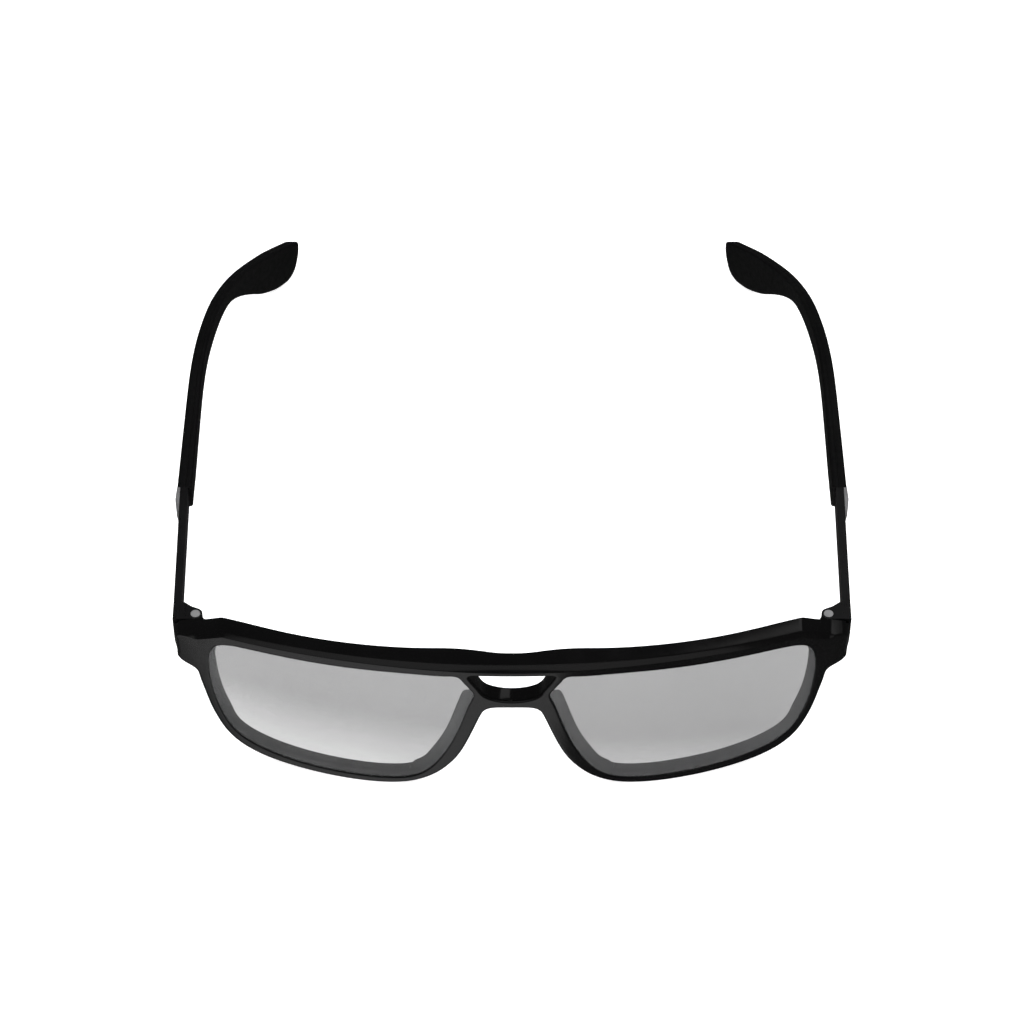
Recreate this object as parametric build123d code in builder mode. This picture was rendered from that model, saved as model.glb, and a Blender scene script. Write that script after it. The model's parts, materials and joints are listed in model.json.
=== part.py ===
"""Smart glasses: double-bridge front, wrap-curved lenses, metal temple arms
on three-knuckle hinges, and hollow two-piece temple housings that carry the
electronics.

Frame: +Z up, +Y from the front toward the wearer, X across the face.
"right" is the wearer's right (-X), "left" is the wearer's left (+X).
The glasses stand on the two lower rims and the two temple tips (z = 0), and
the origin is the middle of that footprint.
"""
import math
import os

from build123d import *

os.makedirs("parts", exist_ok=True)

# ------------------------------------------------------------------ driving
# front
FRONT_TILT = 1.69          # degrees the front leans forward at its top
BROW_Y, BROW_Z = -75.33, 49.14   # brow edge at the middle of the front
WRAP_R = 220.0             # wrap radius of the front, seen from above
FACE_OFF = -1.0            # front face, ahead of the brow's upper edge
BACK_OFF = 3.4             # back face of the brow
BACK_LEAN = 0.70           # degrees: the rims get thinner toward the bottom
BROW_CHAMFER = 1.0
END_PIECE_LOW = 16.9       # underside of the end pieces, below the brow
LENS_SET_BACK = 0.35       # lens behind the front face
LENS_T = 1.8               # lens thickness
LENS_LAP = 0.45            # lens edge held in the groove
FIT = 0.04                 # clearance round a fitted piece
# temples
TEMPLE_DROP = 5.17         # degrees the temples fall toward the back
HINGE_X = 67.40            # hinge axis to the middle
HINGE_Y, HINGE_Z = BROW_Y + 16.017, BROW_Z - 3.729   # top of the hinge
HINGE_FACE = -1.60         # back face of the end piece, from the hinge axis
KNUCKLE_R = 1.50
KNUCKLE_H = 1.70           # height of one knuckle
KNUCKLE_GAP = 0.05         # play between knuckles
SCREW_HEAD_R = 1.03
SCREW_R = 0.62
ARM_X = 72.40              # outer face of the metal arm
ARM_T = 1.80
ARM_H = 5.20
HOUSING_T0 = 36.30         # where the housing starts, from the hinge axis
WALL = 0.65                # housing wall
SPLIT = 1.75               # depth of the outer half shell
TONGUE_END = 47.5          # end of the arm's tongue in the housing
TONGUE_X, TONGUE_T = 72.48, 1.50
FRONT_WALL = 1.0           # wall at the housing's front end
CONTACT_R = 0.55           # charging contacts in the underside
CONTACT_T1, CONTACT_T2 = 54.0, 58.0
# hinge leaf, sunk in the end piece
LEAF_X0, LEAF_X1 = 65.85, 70.60
LEAF_BACK = -2.60          # buried face of the leaf
LEAF_TOP, LEAF_LOW = -1.05, -8.00
LEAF_SCREWS = [(-69.40, -6.55), (-67.00, -6.55)]
LEAF_SCREW_R, LEAF_HEAD_R, LEAF_HEAD_H, LEAF_SCREW_L = 0.42, 0.78, 0.40, 3.0
SCREW_HEAD_H = 0.60

tilt = math.radians(FRONT_TILT)
depth = Vector(0, math.cos(tilt), math.sin(tilt))
rise = Vector(0, -math.sin(tilt), math.cos(tilt))
BROW = Vector(0, BROW_Y, BROW_Z)
FACE = Plane(origin=BROW, x_dir=(1, 0, 0), z_dir=-depth)     # local (x, height)
CROWN = Plane(origin=BROW, x_dir=(1, 0, 0), z_dir=rise)      # local (x, depth)
lean = math.radians(FRONT_TILT - BACK_LEAN)
BACK_CROWN = Plane(origin=BROW, x_dir=(1, 0, 0),
                   z_dir=(0, -math.sin(lean), math.cos(lean)))
BROW_SIDE = Plane(origin=BROW, x_dir=depth, z_dir=(1, 0, 0))  # local (depth, height)

drop = math.radians(TEMPLE_DROP)
along = Vector(0, math.cos(drop), -math.sin(drop))
axis = Vector(0, math.sin(drop), math.cos(drop))
HINGE = Vector(0, HINGE_Y, HINGE_Z)
SIDE = Plane(origin=HINGE, x_dir=along, z_dir=(1, 0, 0))     # local (t, h)
PLAN = Plane(origin=HINGE, x_dir=(1, 0, 0), z_dir=axis)      # local (x, t)
# the hinge face, seen from behind: local (x, h), facing the wearer
LEAF_BACK_PLANE = Plane(origin=HINGE + along * HINGE_FACE, x_dir=(-1, 0, 0), z_dir=along)

# outline of the front, wearer's right half, (x, height below the brow)
OUTER_TOP = [(0.0, 0.0), (-61.4, 0.0), (-67.2, -3.6), (-71.0, -4.25), (-72.15, -5.3)]
OUTER_SIDE = [(-72.15, -5.3), (-72.1, -10.2), (-71.45, -13.5), (-70.4, -14.8),
              (-68.9, -15.65), (-67.75, -16.7), (-67.25, -18.8), (-66.5, -23.9),
              (-65.45, -29.9), (-63.84, -35.65), (-62.0, -39.75), (-59.1, -43.15),
              (-55.8, -45.3), (-51.0, -47.05), (-44.4, -48.4), (-37.9, -49.08),
              (-32.6, -49.2), (-27.3, -48.75), (-22.8, -47.6), (-19.3, -45.65),
              (-16.6, -43.25), (-14.0, -39.75), (-12.2, -36.5), (-10.6, -32.5),
              (-9.25, -28.1), (-8.2, -24.3), (-7.2, -20.5), (-6.55, -18.2),
              (-5.7, -16.45), (-4.6, -15.65), (-3.2, -15.38), (0.0, -15.32)]
# lens opening, wearer's right, clockwise from the strut
OPENING = [(-8.1, -10.9), (-8.8, -13.6), (-10.1, -18.8), (-12.1, -27.0),
           (-15.2, -36.0), (-17.7, -40.9), (-20.1, -43.8), (-22.8, -45.5),
           (-26.8, -46.55), (-31.2, -46.95), (-36.5, -46.85), (-41.8, -46.4),
           (-47.0, -45.5), (-52.3, -43.95), (-57.3, -41.3), (-60.4, -38.2),
           (-62.5, -33.6), (-63.75, -28.8), (-64.5, -24.0), (-64.9, -18.0),
           (-64.8, -11.6), (-64.0, -7.5), (-62.6, -5.0), (-60.4, -3.8),
           (-57.0, -3.4), (-50.0, -3.5), (-40.0, -3.7), (-30.0, -3.6),
           (-20.0, -3.5), (-13.4, -3.5), (-12.0, -3.55), (-11.2, -4.05),
           (-10.5, -5.3), (-9.6, -7.0), (-8.65, -8.8), (-8.15, -9.8)]
# the ledge behind the lens is narrower at the temple side
LEDGE = OPENING[:14] + [(-57.0, -41.2), (-59.9, -38.1), (-61.8, -33.5), (-62.8, -28.8),
         (-63.35, -24.0), (-63.6, -18.0), (-63.5, -12.0), (-63.0, -8.3), (-61.9, -5.8),
         (-60.0, -4.3), (-57.0, -3.7)] + OPENING[25:]
# gap between brow and lower bridge, half
GAP = [(0.0, -3.1), (-8.4, -3.1), (-9.2, -3.6), (-8.35, -5.6), (-7.05, -8.2),
       (-6.3, -10.0), (-5.3, -11.3), (-3.6, -12.2), (-1.8, -12.7), (0.0, -12.85)]
BRIDGE_BACK = 2.2          # back face of the lower bridge and the struts

# temple side outline (t, h)
TOP_EDGE = [(HOUSING_T0, 0.0), (50.0, 0.0), (62.6, 0.0), (73.0, -0.02), (81.7, -0.42),
            (89.4, -1.65), (94.8, -3.10), (99.0, -4.65), (103.7, -6.75),
            (108.9, -9.25), (114.1, -11.80), (119.4, -14.40), (124.75, -17.0),
            (130.2, -19.65), (135.1, -22.2), (137.3, -23.3)]
TIP_EDGE = [(137.3, -23.3), (138.15, -23.9), (138.4, -24.95), (138.2, -27.5),
            (137.5, -30.2), (136.1, -32.65), (134.1, -33.5)]
BOTTOM_EDGE = [(134.1, -33.5), (131.3, -32.75), (128.2, -31.0), (125.0, -28.6),
               (121.5, -25.3), (118.0, -22.0), (114.2, -18.7), (109.0, -14.7),
               (104.5, -11.9), (100.0, -9.9), (95.0, -8.2), (89.0, -6.85),
               (82.0, -6.0), (75.0, -5.8), (62.0, -6.0), (50.0, -6.2),
               (HOUSING_T0, -6.3)]
# outer face of the housing seen from above (x, t)
OUTER_PLAN = [(-73.45, 36.3), (-73.20, 50.0), (-72.95, 62.0), (-72.45, 75.0),
              (-71.50, 85.0), (-70.20, 95.0), (-68.85, 104.0), (-67.20, 112.0),
              (-65.05, 119.0), (-62.50, 125.0), (-59.75, 130.5), (-56.70, 135.5),
              (-52.95, 141.0)]


def thickness(t):
    """Housing thickness: 3.2 at the front, 2.8 from the ear bend on."""
    return 3.2 if t < 45 else max(2.8, 3.2 - 0.4 * (t - 45) / 35)


def inset(frac_or_mm, whole=False):
    """Points of the housing's plan curve moved inward by a distance, or by
    the whole thickness less that distance."""
    pts = []
    for i, (x, t) in enumerate(OUTER_PLAN):
        x0, t0 = OUTER_PLAN[max(i - 1, 0)]
        x1, t1 = OUTER_PLAN[min(i + 1, len(OUTER_PLAN) - 1)]
        n = math.hypot(x1 - x0, t1 - t0)
        d = thickness(t) - frac_or_mm if whole else frac_or_mm
        pts.append((x + d * (t1 - t0) / n, t - d * (x1 - x0) / n))
    return pts


def edge_shift(points, by):
    """A side outline's points moved up (+) or down (-) square to the curve."""
    out = []
    for i, (t, h) in enumerate(points):
        t0, h0 = points[max(i - 1, 0)]
        t1, h1 = points[min(i + 1, len(points) - 1)]
        n = math.hypot(t1 - t0, h1 - h0)
        out.append((t - by * (h1 - h0) / n, h + by * (t1 - t0) / n))
    return out


def mirrored(points):
    return [(-x, y) for x, y in points]


def grown(points, by):
    """A closed outline moved outward by a distance, square to the curve."""
    out = []
    count = len(points)
    for i, (x, y) in enumerate(points):
        x0, y0 = points[i - 1]
        x1, y1 = points[(i + 1) % count]
        n = math.hypot(x1 - x0, y1 - y0)
        out.append((x - by * (y1 - y0) / n, y + by * (x1 - x0) / n))
    return out


# ================================================================== lenses
# one cutter for the groove and one lens, both wrap-curved like the front
with BuildPart() as groove_right:
    with BuildSketch(FACE.offset(3)):
        with BuildLine():
            Spline(*grown(OPENING, LENS_LAP + FIT), periodic=True)
        make_face()
    extrude(amount=-22)
    with BuildSketch(CROWN.offset(-60)):
        with Locations((0, WRAP_R)):
            Circle(WRAP_R - FACE_OFF - LENS_SET_BACK + FIT)
            Circle(WRAP_R - FACE_OFF - LENS_SET_BACK - LENS_T - FIT, mode=Mode.SUBTRACT)
    extrude(amount=70, mode=Mode.INTERSECT)

# cutter of the opening's front part, down to the ledge
with BuildPart() as opening_right:
    with BuildSketch(FACE.offset(3)):
        with BuildLine():
            Spline(*OPENING, periodic=True)
        make_face()
    extrude(amount=-22)
    with BuildSketch(CROWN.offset(-60)):
        with Locations((0, WRAP_R)):
            Circle(WRAP_R + 8)
            Circle(WRAP_R - FACE_OFF - LENS_SET_BACK - LENS_T - FIT, mode=Mode.SUBTRACT)
    extrude(amount=70, mode=Mode.INTERSECT)

with BuildPart() as lens_right:
    with BuildSketch(FACE.offset(3)):
        with BuildLine():
            Spline(*grown(OPENING, LENS_LAP), periodic=True)
        make_face()
    extrude(amount=-22)
    with BuildSketch(CROWN.offset(-60)):
        with Locations((0, WRAP_R)):
            Circle(WRAP_R - FACE_OFF - LENS_SET_BACK)
            Circle(WRAP_R - FACE_OFF - LENS_SET_BACK - LENS_T, mode=Mode.SUBTRACT)
    extrude(amount=70, mode=Mode.INTERSECT)
lens_right.part.label = "lens_right"

with BuildPart() as lens_left:
    mirror(lens_right.part, about=Plane.YZ)
lens_left.part.label = "lens_left"

# ================================================================== front
with BuildPart() as front_frame:
    with BuildSketch(FACE.offset(3)):
        with BuildLine():
            Polyline(*OUTER_TOP)
            Spline(*OUTER_SIDE)
            Polyline(*mirrored(OUTER_TOP))
            Spline(*mirrored(OUTER_SIDE))
        make_face()
    extrude(amount=-24)
    # front face: everything behind the wrap arc
    with BuildSketch(CROWN.offset(-60)):
        with Locations((0, WRAP_R)):
            Circle(WRAP_R - FACE_OFF)
    extrude(amount=70, mode=Mode.INTERSECT)
    # back face: a second arc, leaned so the rims thin toward the bottom; the
    # end pieces stay deep and are cut to the hinge face below
    with BuildSketch(BACK_CROWN.offset(-60)):
        with Locations((0, WRAP_R)):
            Circle(WRAP_R - BACK_OFF)
    extrude(amount=60 - END_PIECE_LOW, mode=Mode.SUBTRACT)
    with BuildSketch(BACK_CROWN.offset(-END_PIECE_LOW)):
        with Locations((0, WRAP_R)):
            Circle(WRAP_R - BACK_OFF)
        with Locations((-65.7 - 10, 15), (65.7 + 10, 15)):
            Rectangle(20, 40, mode=Mode.SUBTRACT)
    extrude(amount=30, mode=Mode.SUBTRACT)
    # end pieces: cut to the slanted hinge face
    with BuildSketch(SIDE.offset(-90)):
        with Locations((HINGE_FACE + 15, -5)):
            Rectangle(30, 40)
    extrude(amount=90 - 65.3, mode=Mode.SUBTRACT)
    with BuildSketch(SIDE.offset(65.3)):
        with Locations((HINGE_FACE + 15, -5)):
            Rectangle(30, 40)
    extrude(amount=90 - 65.3, mode=Mode.SUBTRACT)
    # outer sides flare from the front face to the arm's outer face
    with BuildSketch(CROWN.offset(-60)):
        with BuildLine():
            Polyline((-71.35, 9.0), (-71.35, 10.9), (-72.1, 13.8), (-72.15, 30), (-80, 30),
                     (-80, 0), (-71.35, 0), close=True)
        make_face()
        with BuildLine():
            Polyline((71.35, 9.0), (71.35, 10.9), (72.1, 13.8), (72.15, 30), (80, 30),
                     (80, 0), (71.35, 0), close=True)
        make_face()
    extrude(amount=70, mode=Mode.SUBTRACT)
    # chamfer along the brow's upper front edge
    brow_edges = [
        e for e in front_frame.edges()
        if abs((WRAP_R - math.hypot(FACE.to_local_coords(e.center()).X,
                                    WRAP_R + FACE.to_local_coords(e.center()).Z)) - FACE_OFF) < 0.35
        and FACE.to_local_coords(e.center()).Y > -4.2
        and abs(e.center().X) < 69.0
        and e.length > 4.0
    ]
    chamfer(brow_edges, length=BROW_CHAMFER)
    # gap of the double bridge
    with BuildSketch(FACE.offset(3)):
        with BuildLine():
            Polyline(*GAP[:3])
            Spline(*GAP[2:])
            Polyline(*mirrored(GAP[:3]))
            Spline(*mirrored(GAP[2:]))
        make_face()
    extrude(amount=-24, mode=Mode.SUBTRACT)
    # lower bridge and struts, thinner than the brow
    with BuildSketch(BROW_SIDE.offset(-8.2)):
        with Locations((BRIDGE_BACK + 5, -10.3)):
            Rectangle(10, 12.8)
    extrude(amount=16.4, mode=Mode.SUBTRACT)
    # lens openings: full size in front, ledge behind the lens, grooves
    add(opening_right.part, mode=Mode.SUBTRACT)
    mirror(opening_right.part, about=Plane.YZ, mode=Mode.SUBTRACT)
    with BuildSketch(FACE.offset(3)):
        with BuildLine():
            Spline(*LEDGE, periodic=True)
        make_face()
        with BuildLine():
            Spline(*mirrored(LEDGE), periodic=True)
        make_face()
    extrude(amount=-24, mode=Mode.SUBTRACT)
    add(groove_right.part, mode=Mode.SUBTRACT)
    mirror(groove_right.part, about=Plane.YZ, mode=Mode.SUBTRACT)
    # pockets for the sunk hinge leaves, and the holes of their screws
    with BuildSketch(SIDE.offset(-LEAF_X1 - FIT)):
        with Locations(((HINGE_FACE + LEAF_BACK - FIT) / 2, (LEAF_TOP + LEAF_LOW) / 2)):
            Rectangle(HINGE_FACE - LEAF_BACK + 0.02 + FIT, LEAF_TOP - LEAF_LOW + 2 * FIT)
    extrude(amount=LEAF_X1 - LEAF_X0 + 2 * FIT, mode=Mode.SUBTRACT)
    with BuildSketch(SIDE.offset(LEAF_X0 - FIT)):
        with Locations(((HINGE_FACE + LEAF_BACK - FIT) / 2, (LEAF_TOP + LEAF_LOW) / 2)):
            Rectangle(HINGE_FACE - LEAF_BACK + 0.02 + FIT, LEAF_TOP - LEAF_LOW + 2 * FIT)
    extrude(amount=LEAF_X1 - LEAF_X0 + 2 * FIT, mode=Mode.SUBTRACT)
    with BuildSketch(LEAF_BACK_PLANE):
        with Locations(*LEAF_SCREWS, *mirrored(LEAF_SCREWS)):
            Circle(LEAF_SCREW_R + 0.02)
    extrude(amount=-LEAF_SCREW_L, mode=Mode.SUBTRACT)
front_frame.part.label = "front_frame"

# ------------------------------------------------------------- nose pads
# bonded to the back of the nose-side rims; the rim outline in plan of the
# face, and a hump in side view
with BuildPart() as nose_pad_right:
    with BuildSketch(FACE.offset(3)):
        with BuildLine():
            Spline((-7.6, -17.4), (-10.05, -18.9), (-12.15, -27.2), (-15.25, -36.1), (-17.8, -41.1),
                   (-20.2, -43.9), (-22.4, -45.3))
            Spline((-21.4, -46.6), (-18.9, -45.1), (-16.3, -42.6), (-14.1, -39.6), (-12.4, -36.6),
                   (-10.8, -32.6), (-9.45, -28.2), (-8.4, -24.4), (-7.4, -20.6), (-7.1, -18.5))
            Line((-7.6, -17.4), (-7.1, -18.5))
            Line((-22.4, -45.3), (-21.4, -46.6))
        make_face()
    extrude(amount=-16)
    with BuildSketch(BROW_SIDE.offset(-30)):
        with BuildLine():
            Spline((2.0, -17.2), (4.6, -17.7), (6.9, -20.3), (7.95, -24.0), (7.6, -27.0),
                   (6.7, -30.2), (5.9, -33.6), (5.4, -37.0), (5.0, -40.2), (4.5, -43.2), (3.4, -46.6))
            Line((3.4, -46.6), (2.0, -17.2))
        make_face()
    extrude(amount=30, mode=Mode.INTERSECT)
    add(front_frame.part, mode=Mode.SUBTRACT)
    # keep only what stands behind the rim
    with BuildSketch(BACK_CROWN.offset(-60)):
        with Locations((0, WRAP_R)):
            Circle(WRAP_R - BACK_OFF + 0.002)
    extrude(amount=70, mode=Mode.INTERSECT)
nose_pad_right.part.label = "nose_pad_right"
with BuildPart() as nose_pad_left:
    mirror(nose_pad_right.part, about=Plane.YZ)
nose_pad_left.part.label = "nose_pad_left"

# ------------------------------------------------- front hinge leaf, screws
KNUCKLE_LOW = -2 * KNUCKLE_H - KNUCKLE_GAP
with BuildPart() as hinge_leaf_right:
    # plate sunk in the end piece
    with BuildSketch(SIDE.offset(-LEAF_X1)):
        with Locations(((HINGE_FACE + LEAF_BACK) / 2, (LEAF_TOP + LEAF_LOW) / 2)):
            Rectangle(HINGE_FACE - LEAF_BACK, LEAF_TOP - LEAF_LOW)
    extrude(amount=LEAF_X1 - LEAF_X0)
    fillet(hinge_leaf_right.edges().filter_by(GeomType.LINE).sort_by(Axis.Z)[:2], radius=0.2)
    # neck and middle knuckle
    with BuildSketch(PLAN.offset(KNUCKLE_LOW)):
        with Locations((-HINGE_X, 0)):
            Circle(KNUCKLE_R)
        with Locations((-HINGE_X, LEAF_BACK / 2)):
            Rectangle(2 * KNUCKLE_R, -LEAF_BACK)
    extrude(amount=KNUCKLE_H)
    with BuildSketch(PLAN.offset(-8)):
        with Locations((-HINGE_X, 0)):
            Circle(SCREW_R + 0.05)
    extrude(amount=10, mode=Mode.SUBTRACT)
    # countersunk holes of the two leaf screws
    with BuildSketch(LEAF_BACK_PLANE):
        with Locations(*mirrored(LEAF_SCREWS)):
            Circle(LEAF_SCREW_R + 0.02)
    extrude(amount=-2, mode=Mode.SUBTRACT)
    with BuildSketch(LEAF_BACK_PLANE):
        with Locations(*mirrored(LEAF_SCREWS)):
            Circle(LEAF_HEAD_R + 0.02)
    extrude(amount=-LEAF_HEAD_H - 0.05, mode=Mode.SUBTRACT)
hinge_leaf_right.part.label = "hinge_leaf_right"
with BuildPart() as hinge_leaf_left:
    mirror(hinge_leaf_right.part, about=Plane.YZ)
hinge_leaf_left.part.label = "hinge_leaf_left"

# the four small screws that hold the leaves, one node
with BuildPart() as leaf_screws:
    with BuildSketch(LEAF_BACK_PLANE.offset(-0.05)):
        with Locations(*LEAF_SCREWS, *mirrored(LEAF_SCREWS)):
            Circle(LEAF_HEAD_R)
    extrude(amount=-LEAF_HEAD_H)
    with BuildSketch(LEAF_BACK_PLANE.offset(-0.05 - LEAF_HEAD_H)):
        with Locations(*LEAF_SCREWS, *mirrored(LEAF_SCREWS)):
            Circle(LEAF_SCREW_R)
    extrude(amount=-LEAF_SCREW_L + LEAF_HEAD_H + 0.15)
    # driver slots
    with BuildSketch(LEAF_BACK_PLANE.offset(-0.05)):
        with Locations(*LEAF_SCREWS, *mirrored(LEAF_SCREWS)):
            Rectangle(1.5, 0.22)
    extrude(amount=-0.18, mode=Mode.SUBTRACT)
leaf_screws.part.label = "leaf_screws"

# ================================================================== temples
# the pieces of the wearer's right temple; the left one is their mirror image
def filled(*runs):
    """A flat outline made of runs of points; a run of two points is a line."""
    with BuildSketch() as flat:
        with BuildLine():
            for run in runs:
                if len(run) == 2:
                    Line(*run)
                else:
                    Spline(*run)
        make_face()
    return flat.sketch


def band(d_out, d_in, from_back=False):
    """Plan of the layer between two depths below the housing's outer face;
    from_back measures the second depth from the inner face instead."""
    a, b = inset(d_out), inset(d_in, whole=from_back)
    return filled(a, b, [a[0], b[0]], [a[-1], b[-1]])


housing_side = filled(TOP_EDGE, TIP_EDGE, BOTTOM_EDGE, [BOTTOM_EDGE[-1], TOP_EDGE[0]])

cav_top = edge_shift(TOP_EDGE, -0.95)[:-2]
cav_top[0] = (HOUSING_T0 + FRONT_WALL, cav_top[0][1])
cav_low = edge_shift(BOTTOM_EDGE, -0.95)[2:]
cav_low[-1] = (HOUSING_T0 + FRONT_WALL, cav_low[-1][1])
cavity_side = filled(cav_top, [cav_top[-1], (133.4, -22.5)], [(133.4, -22.5), (134.8, -24.6)],
                     [(134.8, -24.6), (134.4, -28.3)], [(134.4, -28.3), (132.9, -31.2)],
                     [(132.9, -31.2), (130.6, -31.2)], [(130.6, -31.2), cav_low[0]],
                     cav_low, [cav_low[-1], cav_top[0]])

with BuildPart() as cavity:
    with BuildSketch(SIDE.offset(-80)):
        add(cavity_side)
    extrude(amount=40)
    with BuildSketch(PLAN.offset(-45)):
        add(band(WALL, WALL, from_back=True))
    extrude(amount=60, mode=Mode.INTERSECT)
    # slot in the front wall for the arm's tongue
    with BuildSketch(SIDE.offset(-TONGUE_X - FIT)):
        with Locations((HOUSING_T0 + FRONT_WALL / 2, -(1.0 + ARM_H) / 2)):
            Rectangle(FRONT_WALL + 0.6, ARM_H - 1.0 + 2 * FIT)
    extrude(amount=TONGUE_T + 2 * FIT)

# openings of the underside: speaker slot, microphone port, contact holes
with BuildPart() as underside_cuts:
    with BuildSketch(SIDE.offset(-80)):
        with BuildLine():
            Polyline((82.5, -4.6), (87.5, -5.2), (87.4, -8.0), (82.4, -8.0), close=True)
        make_face()
    extrude(amount=20)
    with BuildSketch(PLAN.offset(-12)):
        add(band(0.95, 1.85))
    extrude(amount=12, mode=Mode.INTERSECT)
    with BuildSketch(PLAN.offset(-8)):
        with Locations((-71.50, 74.5)):
            Circle(0.35)
        with Locations((-71.60, CONTACT_T1), (-71.50, CONTACT_T2)):
            Circle(CONTACT_R + 0.02)
    extrude(amount=3.2)

with BuildPart() as outer_shell_right:
    with BuildSketch(SIDE.offset(-80)):
        add(housing_side)
    extrude(amount=40)
    with BuildSketch(PLAN.offset(-45)):
        add(band(0.0, SPLIT))
    extrude(amount=60, mode=Mode.INTERSECT)
    add(cavity.part, mode=Mode.SUBTRACT)
    add(underside_cuts.part, mode=Mode.SUBTRACT)
outer_shell_right.part.label = "outer_shell_right"

with BuildPart() as inner_shell_right:
    with BuildSketch(SIDE.offset(-80)):
        add(housing_side)
    extrude(amount=40)
    with BuildSketch(PLAN.offset(-45)):
        add(band(SPLIT, 0.0, from_back=True))
    extrude(amount=60, mode=Mode.INTERSECT)
    add(cavity.part, mode=Mode.SUBTRACT)
    add(underside_cuts.part, mode=Mode.SUBTRACT)
inner_shell_right.part.label = "inner_shell_right"

# metal arm: hinge lug with two knuckles, bar, and tongue inside the housing
with BuildPart() as temple_arm_right:
    with BuildSketch(PLAN.offset(-ARM_H)):
        with BuildLine():
            Polyline((-72.22, -1.53), (-67.40, -1.48), (-66.75, 1.34), (-67.40, 1.62), (-68.46, 2.10),
                     (-69.85, 3.18), (-70.40, 3.26), (-70.52, 3.60), (-70.70, 15.0),
                     (-71.00, HOUSING_T0 - 0.02), (-72.74, HOUSING_T0 - 0.02), (-72.42, 15.0),
                     (-72.25, 3.6), close=True)
        make_face()
        with Locations((-HINGE_X, 0)):
            Circle(KNUCKLE_R)
    extrude(amount=ARM_H)
    # tongue
    with BuildSketch(SIDE.offset(-TONGUE_X)):
        with Locations(((HOUSING_T0 + TONGUE_END) / 2 - 0.1, -(1.0 + ARM_H) / 2)):
            Rectangle(TONGUE_END - HOUSING_T0 + 0.2, ARM_H - 1.0)
    extrude(amount=TONGUE_T)
    # room for the front leaf's knuckle
    with BuildSketch(PLAN.offset(KNUCKLE_LOW - KNUCKLE_GAP)):
        with Locations((-66.5, 0)):
            Rectangle(5.2, 7.0)
    extrude(amount=KNUCKLE_H + 2 * KNUCKLE_GAP, mode=Mode.SUBTRACT)
    # screw hole and the seat of its head
    with BuildSketch(PLAN.offset(-8)):
        with Locations((-HINGE_X, 0)):
            Circle(SCREW_R + 0.02)
    extrude(amount=10, mode=Mode.SUBTRACT)
    with BuildSketch(PLAN.offset(-SCREW_HEAD_H - 0.05)):
        with Locations((-HINGE_X, 0)):
            Circle(SCREW_HEAD_R + 0.02)
    extrude(amount=2, mode=Mode.SUBTRACT)
temple_arm_right.part.label = "temple_arm_right"

with BuildPart() as hinge_screw_right:
    with BuildSketch(PLAN.offset(-ARM_H + 0.1)):
        with Locations((-HINGE_X, 0)):
            Circle(SCREW_R)
    extrude(amount=ARM_H - 0.1 - SCREW_HEAD_H)
    with BuildSketch(PLAN.offset(-SCREW_HEAD_H)):
        with Locations((-HINGE_X, 0)):
            Circle(SCREW_HEAD_R)
    extrude(amount=SCREW_HEAD_H + 0.05)
    chamfer(hinge_screw_right.edges().group_by(Axis.Z)[-1], length=0.08)
hinge_screw_right.part.label = "hinge_screw_right"

with BuildPart() as temple_trim_right:
    with BuildSketch(PLAN.offset(-ARM_H)):
        with BuildLine():
            Polyline((-72.66, 28.8), (-73.60, 32.5), (-73.62, 32.9), (-73.46, HOUSING_T0 - 0.02),
                     (-72.75, HOUSING_T0 - 0.02), close=True)
        make_face()
    extrude(amount=ARM_H)
temple_trim_right.part.label = "temple_trim_right"

# --------------------------------------------------------------- electronics
with BuildPart() as circuit_board_right:
    with BuildSketch(SIDE.offset(-80)):
        with Locations((64.0, -2.95)):
            Rectangle(28.0, 3.5)
    extrude(amount=40)
    with BuildSketch(PLAN.offset(-20)):
        add(band(1.35, 1.70))
    extrude(amount=25, mode=Mode.INTERSECT)
circuit_board_right.part.label = "circuit_board_right"

with BuildPart() as touch_sensor_right:
    with BuildSketch(SIDE.offset(-80)):
        with Locations((63.0, -3.0)):
            Rectangle(25.0, 3.6)
    extrude(amount=40)
    with BuildSketch(PLAN.offset(-20)):
        add(band(WALL + 0.02, WALL + 0.14))
    extrude(amount=25, mode=Mode.INTERSECT)
touch_sensor_right.part.label = "touch_sensor_right"

with BuildPart() as processor_right:
    with BuildSketch(SIDE.offset(-80)):
        with Locations((56.0, -3.1)):
            Rectangle(5.0, 3.2)
    extrude(amount=40)
    with BuildSketch(PLAN.offset(-20)):
        add(band(0.84, 1.34))
    extrude(amount=25, mode=Mode.INTERSECT)
processor_right.part.label = "processor_right"

with BuildPart() as audio_amplifier_right:
    with BuildSketch(SIDE.offset(-80)):
        with Locations((63.0, -3.1)):
            Rectangle(3.0, 2.6)
    extrude(amount=40)
    with BuildSketch(PLAN.offset(-20)):
        add(band(0.84, 1.34))
    extrude(amount=25, mode=Mode.INTERSECT)
audio_amplifier_right.part.label = "audio_amplifier_right"

with BuildPart() as microphone_right:
    with BuildSketch(SIDE.offset(-80)):
        with Locations((74.5, -3.55)):
            Rectangle(3.0, 2.2)
    extrude(amount=40)
    with BuildSketch(PLAN.offset(-20)):
        add(band(0.84, 1.34))
    extrude(amount=25, mode=Mode.INTERSECT)
microphone_right.part.label = "microphone_right"

with BuildPart() as speaker_right:
    with BuildSketch(SIDE.offset(-80)):
        with BuildLine():
            Polyline((80.2, -1.75), (90.3, -3.15), (89.8, -5.55), (79.9, -4.75), close=True)
        make_face()
    extrude(amount=40)
    with BuildSketch(PLAN.offset(-20)):
        add(band(0.95, 2.05))
    extrude(amount=25, mode=Mode.INTERSECT)
speaker_right.part.label = "speaker_right"

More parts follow.
